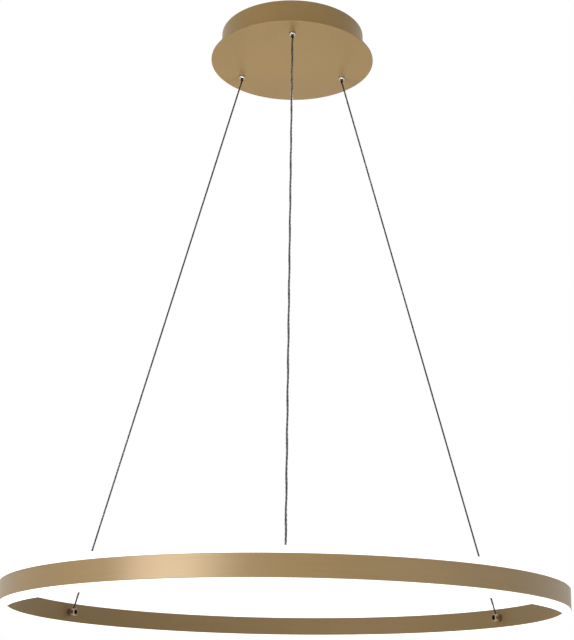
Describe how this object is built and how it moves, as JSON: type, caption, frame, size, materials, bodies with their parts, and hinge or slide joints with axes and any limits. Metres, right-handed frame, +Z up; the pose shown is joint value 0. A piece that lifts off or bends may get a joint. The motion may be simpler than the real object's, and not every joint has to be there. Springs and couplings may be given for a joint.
{
  "type": "led ring chandelier",
  "caption": "Light ring with an opal strip above and below a metal band, hung level on slanting cables from a round ceiling canopy.",
  "frame": {"origin": "centre of the canopy's ceiling face, midway between the bracket's two slots", "axes": "+Z up; +X along the line of the bracket's slots; -Y is the front, where one suspension cable hangs"},
  "size_m": [0.7999, 0.8, 0.9115],
  "materials": {
    "champagne_metal": "satin champagne-gold coating, softly brushed",
    "opal_acrylic": "opal, lit from inside",
    "bright_nickel": "polished nickel",
    "zinc_steel": "bright zinc plate",
    "spring_steel": "drawn stainless steel",
    "steel_cable": "stranded steel wire in a thin clear sleeve",
    "power_cable": "clear sleeve over a twisted core",
    "driver_plastic": "moulded, off-white",
    "terminal_plastic": "moulded, pale grey",
    "lead_sheath": "smooth white sheath",
    "earth_sheath": "smooth green sheath",
    "circuit_board": "white solder mask",
    "led_package": "yellow phosphor in a white package"
  },
  "bodies": {
    "canopy": {"cable_front": "power_cable", "cable_left": "steel_cable", "cable_right": "steel_cable", "cable_tails": "steel_cable", "canopy_cup": "champagne_metal", "canopy_plate": "champagne_metal", "ceiling_bracket": "zinc_steel", "driver_case": "driver_plastic", "driver_lid": "driver_plastic", "earth_lead": "earth_sheath", "grip_caps": "bright_nickel", "grip_lock_nuts": "bright_nickel", "mains_leads": "lead_sheath", "output_lead": "lead_sheath", "plate_nuts": "zinc_steel", "plate_studs": "zinc_steel", "release_spring_front": "spring_steel", "release_spring_left": "spring_steel", "release_spring_right": "spring_steel", "side_screws": "bright_nickel", "terminal_block": "terminal_plastic", "terminal_screws": "zinc_steel", "upper_grip_bodies": "bright_nickel"},
    "ring": {"ring_profile": "champagne_metal", "upper_diffuser": "opal_acrylic", "lower_diffuser": "opal_acrylic", "upper_led_strip": "circuit_board", "lower_led_strip": "circuit_board", "upper_led_chips": "led_package", "lower_led_chips": "led_package", "ring_grip_barrels": "bright_nickel", "clamp_screws": "zinc_steel", "ring_nut_plates": "zinc_steel", "ring_feed_lead": "lead_sheath"},
    "plunger_front": {"plunger_front": "bright_nickel", "clamp_balls_front": "spring_steel"},
    "plunger_left": {"plunger_left": "bright_nickel", "clamp_balls_left": "spring_steel"},
    "plunger_right": {"plunger_right": "bright_nickel", "clamp_balls_right": "spring_steel"}
  },
  "joints": [
    {"name": "ring_height", "type": "slide", "parent": "canopy", "child": "ring", "axis": [0, 0, 1], "range_m": [0, 0.4], "deforming": ["cable_front", "cable_left", "cable_right"]},
    {"name": "release_front", "type": "slide", "parent": "canopy", "child": "plunger_front", "axis": [0, 0, 1], "range_m": [0, 0.002], "stiffness_N_per_m": 500, "springref_m": -0.001, "deforming": ["release_spring_front"]},
    {"name": "release_left", "type": "slide", "parent": "canopy", "child": "plunger_left", "axis": [0, 0, 1], "range_m": [0, 0.002], "stiffness_N_per_m": 500, "springref_m": -0.001, "deforming": ["release_spring_left"]},
    {"name": "release_right", "type": "slide", "parent": "canopy", "child": "plunger_right", "axis": [0, 0, 1], "range_m": [0, 0.002], "stiffness_N_per_m": 500, "springref_m": -0.001, "deforming": ["release_spring_right"]}
  ]
}
